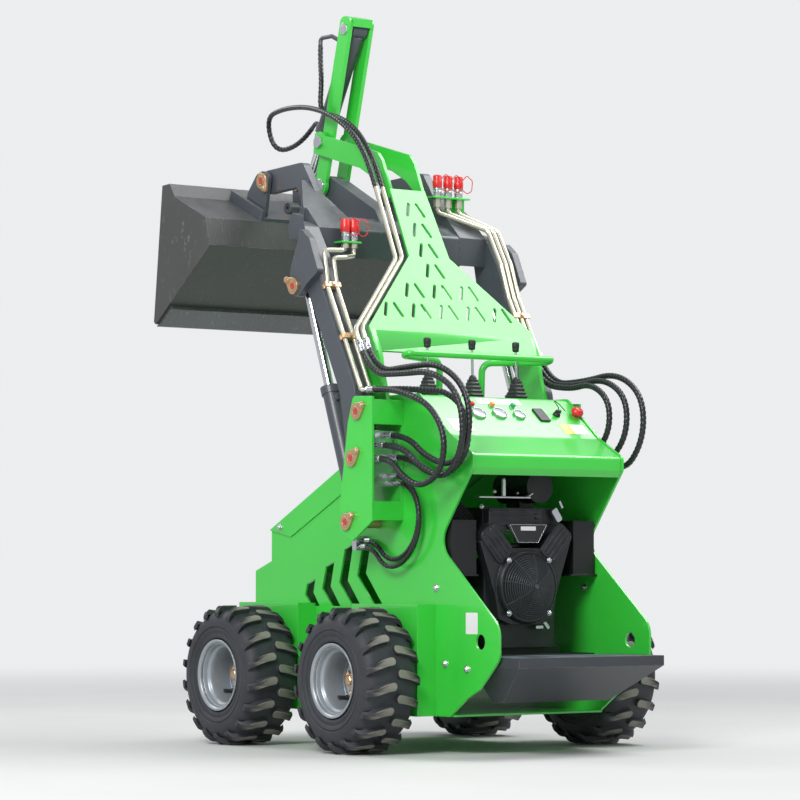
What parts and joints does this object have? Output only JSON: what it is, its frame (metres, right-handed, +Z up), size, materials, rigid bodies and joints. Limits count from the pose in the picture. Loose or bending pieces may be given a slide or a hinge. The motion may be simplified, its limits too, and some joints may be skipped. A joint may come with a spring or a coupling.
{
  "type": "mini skid steer loader",
  "caption": "Stand-behind mini skid steer loader with raised self-levelling arms, a dirt bucket on a quick attach plate and an open rear engine bay.",
  "frame": {"origin": "on the ground under the middle of the machine's overall box, at rest with arms raised and bucket tipped", "axes": "+X forward to the bucket, +Y to the machine's left, +Z up"},
  "size_m": [1.726, 1.17, 2.473],
  "materials": {
    "green_paint": "gloss",
    "dark_paint": "satin",
    "tyre_rubber": "matte",
    "rim_silver": "satin",
    "chrome_rod": "polished",
    "brass_zinc": "satin",
    "zinc_steel": "satin",
    "black_plastic": "matte",
    "hose_rubber": "matte",
    "engine": "satin",
    "engine_plastic": "matte"
  },
  "bodies": {
    "chassis": {"side_plates": "green_paint", "towers": "green_paint", "tower_pins": "brass_zinc", "console": "green_paint", "hood_lid": "green_paint", "nose_cover": "green_paint", "belly_pan": "green_paint", "drive_boxes": "green_paint", "wheel_motors": "dark_paint", "rear_step": "dark_paint", "engine_deck": "dark_paint", "engine_block": "engine", "engine_shroud": "engine_plastic", "engine_cover": "engine_plastic", "engine_boxes": "black_plastic", "handle_bar": "green_paint", "control_levers": "black_plastic", "instruments": "black_plastic", "hose_unions": "zinc_steel", "hose_link_1": "hose_rubber", "hose_link_2": "hose_rubber", "hose_arm_1": "hose_rubber", "hose_arm_2": "hose_rubber", "hose_right_1": "hose_rubber", "hose_right_2": "hose_rubber", "hose_right_3": "hose_rubber", "hose_cylinder_1": "hose_rubber", "hose_cylinder_2": "hose_rubber"},
    "wheel_rear_left": {"tyre_rear_left": "tyre_rubber", "rim_rear_left": "rim_silver"},
    "wheel_rear_right": {"tyre_rear_right": "tyre_rubber", "rim_rear_right": "rim_silver"},
    "wheel_front_left": {"tyre_front_left": "tyre_rubber", "rim_front_left": "rim_silver"},
    "wheel_front_right": {"tyre_front_right": "tyre_rubber", "rim_front_right": "rim_silver"},
    "arms": {"arm_legs": "dark_paint", "upper_frame": "dark_paint", "lift_eye_pins": "brass_zinc", "coupler_brackets": "green_paint", "couplers": "zinc_steel", "arm_tubes": "zinc_steel"},
    "level_link": {"level_link": "green_paint", "link_tubes": "zinc_steel"},
    "crank": {"level_crank": "green_paint", "crank_pins": "zinc_steel", "hose_tilt_upper": "hose_rubber", "hose_tilt_lower": "hose_rubber"},
    "bucket": {"quick_attach": "dark_paint", "bucket": "dark_paint", "bucket_pins": "brass_zinc", "cutting_edge": "dark_paint"},
    "tilt_barrel": {"tilt_barrel": "dark_paint"},
    "tilt_rod": {"tilt_rod": "chrome_rod"},
    "lift_barrel_left": {"lift_barrel_left": "dark_paint"},
    "lift_barrel_right": {"lift_barrel_right": "dark_paint"},
    "lift_rod_left": {"lift_rod_left": "chrome_rod"},
    "lift_rod_right": {"lift_rod_right": "chrome_rod"}
  },
  "joints": [
    {"name": "wheel_rear_left_spin", "type": "hinge", "parent": "chassis", "child": "wheel_rear_left", "pos_m": [-0.287, 0.485, 0.2285], "axis": [0, 1, 0], "continuous": true},
    {"name": "wheel_rear_right_spin", "type": "hinge", "parent": "chassis", "child": "wheel_rear_right", "pos_m": [-0.287, -0.485, 0.2285], "axis": [0, 1, 0], "continuous": true},
    {"name": "wheel_front_left_spin", "type": "hinge", "parent": "chassis", "child": "wheel_front_left", "pos_m": [0.377, 0.485, 0.2285], "axis": [0, 1, 0], "continuous": true},
    {"name": "wheel_front_right_spin", "type": "hinge", "parent": "chassis", "child": "wheel_front_right", "pos_m": [0.377, -0.485, 0.2285], "axis": [0, 1, 0], "continuous": true},
    {"name": "lift", "type": "hinge", "parent": "chassis", "child": "arms", "pos_m": [-0.18, 0, 0.928], "axis": [0, 1, 0], "range_deg": [0, 88], "deforming": ["hose_arm_1", "hose_arm_2", "hose_right_1", "hose_right_2", "hose_right_3"]},
    {"name": "level_link_swing", "type": "hinge", "parent": "chassis", "child": "level_link", "pos_m": [-0.208, 0, 1.076], "axis": [0, 1, 0], "range_deg": [0, 88], "deforming": ["hose_link_1", "hose_link_2"]},
    {"name": "crank_level", "type": "hinge", "parent": "arms", "child": "crank", "pos_m": [0.555, 0, 1.899], "axis": [0, 1, 0], "range_deg": [-88, 0], "deforming": ["hose_tilt_upper", "hose_tilt_lower"]},
    {"name": "tilt", "type": "hinge", "parent": "crank", "child": "bucket", "pos_m": [0.555, 0, 1.899], "axis": [0, -1, 0], "range_deg": [0, 62]},
    {"name": "tilt_barrel_swing", "type": "hinge", "parent": "crank", "child": "tilt_barrel", "pos_m": [0.409, 0, 2.425], "axis": [0, 1, 0], "range_deg": [0, 2.65]},
    {"name": "tilt_rod_slide", "type": "slide", "parent": "tilt_barrel", "child": "tilt_rod", "axis": [0.493, 0, -0.87], "range_m": [-0.1469, 0]},
    {"name": "lift_barrel_left_swing", "type": "hinge", "parent": "chassis", "child": "lift_barrel_left", "pos_m": [-0.15, 0, 0.726], "axis": [0, 1, 0], "range_deg": [0, 79.69]},
    {"name": "lift_rod_left_slide", "type": "slide", "parent": "lift_barrel_left", "child": "lift_rod_left", "axis": [0.3557, 0, 0.9346], "range_m": [-0.2663, 0]},
    {"name": "lift_barrel_right_swing", "type": "hinge", "parent": "chassis", "child": "lift_barrel_right", "pos_m": [-0.15, 0, 0.726], "axis": [0, 1, 0], "range_deg": [0, 79.69]},
    {"name": "lift_rod_right_slide", "type": "slide", "parent": "lift_barrel_right", "child": "lift_rod_right", "axis": [0.3557, 0, 0.9346], "range_m": [-0.2663, 0]}
  ],
  "couplings": [
    {"joint": "level_link_swing", "follows": "lift", "ratio": 1},
    {"joint": "crank_level", "follows": "lift", "ratio": -1},
    {"joint": "tilt_barrel_swing", "follows": "tilt", "ratio": 0.04253},
    {"joint": "tilt_rod_slide", "follows": "tilt", "m_per_rad": -0.13526},
    {"joint": "lift_barrel_left_swing", "follows": "lift", "ratio": 0.90538},
    {"joint": "lift_rod_left_slide", "follows": "lift", "m_per_rad": -0.17306},
    {"joint": "lift_barrel_right_swing", "follows": "lift", "ratio": 0.90538},
    {"joint": "lift_rod_right_slide", "follows": "lift", "m_per_rad": -0.17306}
  ]
}
